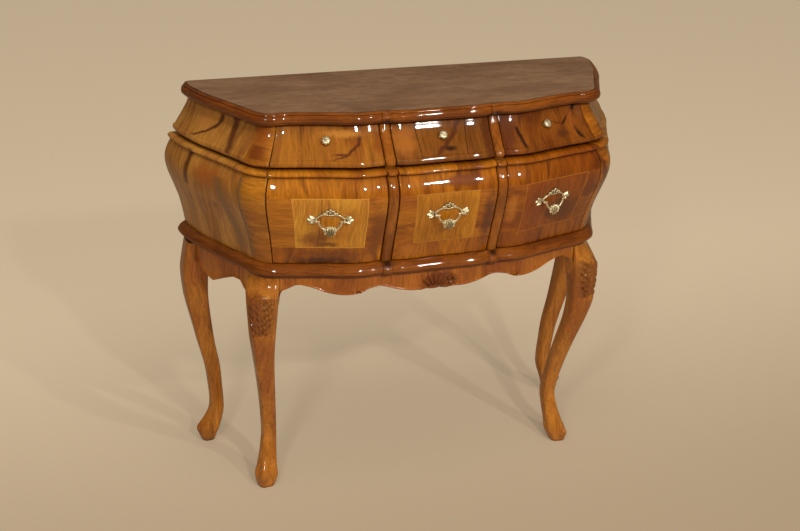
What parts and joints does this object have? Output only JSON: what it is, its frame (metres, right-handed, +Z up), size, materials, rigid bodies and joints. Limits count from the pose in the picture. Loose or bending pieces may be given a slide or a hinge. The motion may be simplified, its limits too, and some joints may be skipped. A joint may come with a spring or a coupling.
{
  "type": "chest of drawers",
  "caption": "Bombé chest of drawers with a serpentine front, splayed ends, moulded top, scalloped apron, cabriole legs and brass handles.",
  "frame": {"origin": "on the floor, under the middle of the overall box", "axes": "+X to the right as seen from the front, -Y to the front, +Z up"},
  "size_m": [1.0462, 0.3808, 0.88],
  "materials": {
    "veneer": "figured walnut veneer under high gloss varnish",
    "carved_wood": "solid walnut, carved and moulded, high gloss varnish",
    "inside_wood": "plain sawn and planed softwood, unvarnished",
    "brass": "cast brass, polished and lightly aged"
  },
  "bodies": {
    "root": {"top_board": "veneer", "top_moulding": "carved_wood", "back_panel": "inside_wood", "left_side_panel": "veneer", "right_side_panel": "veneer", "left_front_post": "veneer", "right_front_post": "veneer", "back_posts": "inside_wood", "partitions": "inside_wood", "left_stile": "carved_wood", "right_stile": "carved_wood", "dust_board": "inside_wood", "bottom_board": "inside_wood", "waist_moulding": "carved_wood", "front_apron": "carved_wood", "left_apron": "carved_wood", "right_apron": "carved_wood", "back_rail": "inside_wood", "front_left_leg": "carved_wood", "front_right_leg": "carved_wood", "back_left_leg": "carved_wood", "back_right_leg": "carved_wood", "corner_blocks": "inside_wood", "drawer_guides": "inside_wood"},
    "upper_left_drawer": {"upper_left_front": "veneer", "upper_left_sides": "inside_wood", "upper_left_back": "inside_wood", "upper_left_bottom": "inside_wood", "upper_left_knob": "brass"},
    "upper_middle_drawer": {"upper_middle_front": "veneer", "upper_middle_sides": "inside_wood", "upper_middle_back": "inside_wood", "upper_middle_bottom": "inside_wood", "upper_middle_knob": "brass"},
    "upper_right_drawer": {"upper_right_front": "veneer", "upper_right_sides": "inside_wood", "upper_right_back": "inside_wood", "upper_right_bottom": "inside_wood", "upper_right_knob": "brass"},
    "lower_left_drawer": {"lower_left_front": "veneer", "lower_left_sides": "inside_wood", "lower_left_back": "inside_wood", "lower_left_bottom": "inside_wood", "lower_left_plate": "brass", "lower_left_bolts": "brass"},
    "lower_left_handle": {"lower_left_bail": "brass"},
    "lower_middle_drawer": {"lower_middle_front": "veneer", "lower_middle_sides": "inside_wood", "lower_middle_back": "inside_wood", "lower_middle_bottom": "inside_wood", "lower_middle_plate": "brass", "lower_middle_bolts": "brass"},
    "lower_middle_handle": {"lower_middle_bail": "brass"},
    "lower_right_drawer": {"lower_right_front": "veneer", "lower_right_sides": "inside_wood", "lower_right_back": "inside_wood", "lower_right_bottom": "inside_wood", "lower_right_plate": "brass", "lower_right_bolts": "brass"},
    "lower_right_handle": {"lower_right_bail": "brass"}
  },
  "joints": [
    {"name": "upper_left_slide", "type": "slide", "parent": "root", "child": "upper_left_drawer", "axis": [0, -1, 0], "range_m": [0, 0.18]},
    {"name": "upper_middle_slide", "type": "slide", "parent": "root", "child": "upper_middle_drawer", "axis": [0, -1, 0], "range_m": [0, 0.21]},
    {"name": "upper_right_slide", "type": "slide", "parent": "root", "child": "upper_right_drawer", "axis": [0, -1, 0], "range_m": [0, 0.18]},
    {"name": "lower_left_slide", "type": "slide", "parent": "root", "child": "lower_left_drawer", "axis": [0, -1, 0], "range_m": [0, 0.195]},
    {"name": "lower_left_swing", "type": "hinge", "parent": "lower_left_drawer", "child": "lower_left_handle", "pos_m": [-0.25141, -0.1644, 0.66976], "axis": [-0.9606, 0.2779, 0], "range_deg": [-12, 75]},
    {"name": "lower_middle_slide", "type": "slide", "parent": "root", "child": "lower_middle_drawer", "axis": [0, -1, 0], "range_m": [0, 0.235]},
    {"name": "lower_middle_swing", "type": "hinge", "parent": "lower_middle_drawer", "child": "lower_middle_handle", "pos_m": [0, -0.18692, 0.66967], "axis": [-1, 0, 0], "range_deg": [-12, 75]},
    {"name": "lower_right_slide", "type": "slide", "parent": "root", "child": "lower_right_drawer", "axis": [0, -1, 0], "range_m": [0, 0.195]},
    {"name": "lower_right_swing", "type": "hinge", "parent": "lower_right_drawer", "child": "lower_right_handle", "pos_m": [0.25141, -0.1644, 0.66976], "axis": [-0.9606, -0.2779, 0], "range_deg": [-12, 75]}
  ]
}
